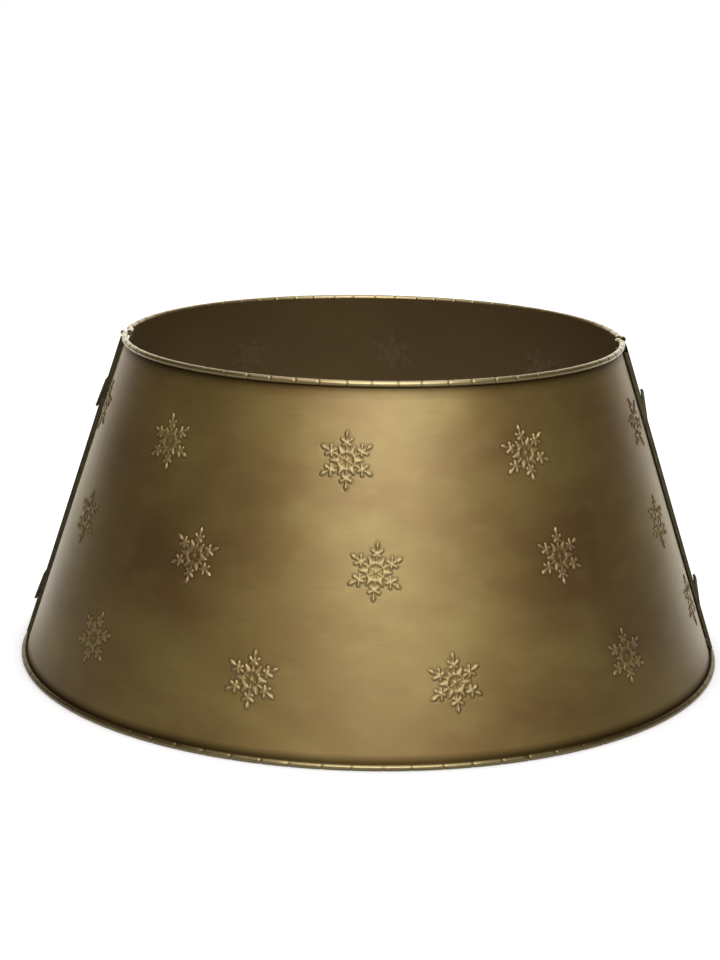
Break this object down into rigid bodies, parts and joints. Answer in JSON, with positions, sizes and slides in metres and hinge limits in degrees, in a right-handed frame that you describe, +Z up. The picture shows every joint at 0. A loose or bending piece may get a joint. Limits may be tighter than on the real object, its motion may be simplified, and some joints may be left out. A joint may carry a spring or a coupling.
{
  "type": "christmas tree skirt",
  "caption": "Metal tree collar in halves: an open cone of thin sheet with embossed snowflakes, rolled wired rims and lapped seams held by hooks.",
  "frame": {"origin": "middle of the collar's base, on the floor that it stands on", "axes": "+Z up along the collar's axis, -Y to the front half, +X to the seam on the viewer's right"},
  "size_m": [0.5702, 0.5702, 0.26],
  "materials": {
    "aged_brass_finish": "satin aged brass finish over thin sheet steel, faintly brushed round and clouded brown",
    "rim_wire_steel": "bare drawn wire, hidden inside the rolled rims",
    "hook_dark_brass": "the same aged brass finish, darker and duller"
  },
  "bodies": {
    "front_half": {"front_panel": "aged_brass_finish", "front_top_rim_wire": "rim_wire_steel", "front_bottom_rim_wire": "rim_wire_steel", "right_upper_hook": "hook_dark_brass", "right_upper_hook_rivet_1": "hook_dark_brass", "right_upper_hook_rivet_2": "hook_dark_brass", "right_lower_hook": "hook_dark_brass", "right_lower_hook_rivet_1": "hook_dark_brass", "right_lower_hook_rivet_2": "hook_dark_brass"},
    "back_half": {"back_panel": "aged_brass_finish", "back_top_rim_wire": "rim_wire_steel", "back_bottom_rim_wire": "rim_wire_steel", "left_upper_hook": "hook_dark_brass", "left_upper_hook_rivet_1": "hook_dark_brass", "left_upper_hook_rivet_2": "hook_dark_brass", "left_lower_hook": "hook_dark_brass", "left_lower_hook_rivet_1": "hook_dark_brass", "left_lower_hook_rivet_2": "hook_dark_brass"}
  },
  "joints": [
    {"name": "back_half_lift", "type": "slide", "parent": "front_half", "child": "back_half", "axis": [0, 0, 1], "range_m": [0, 0.0028]}
  ]
}
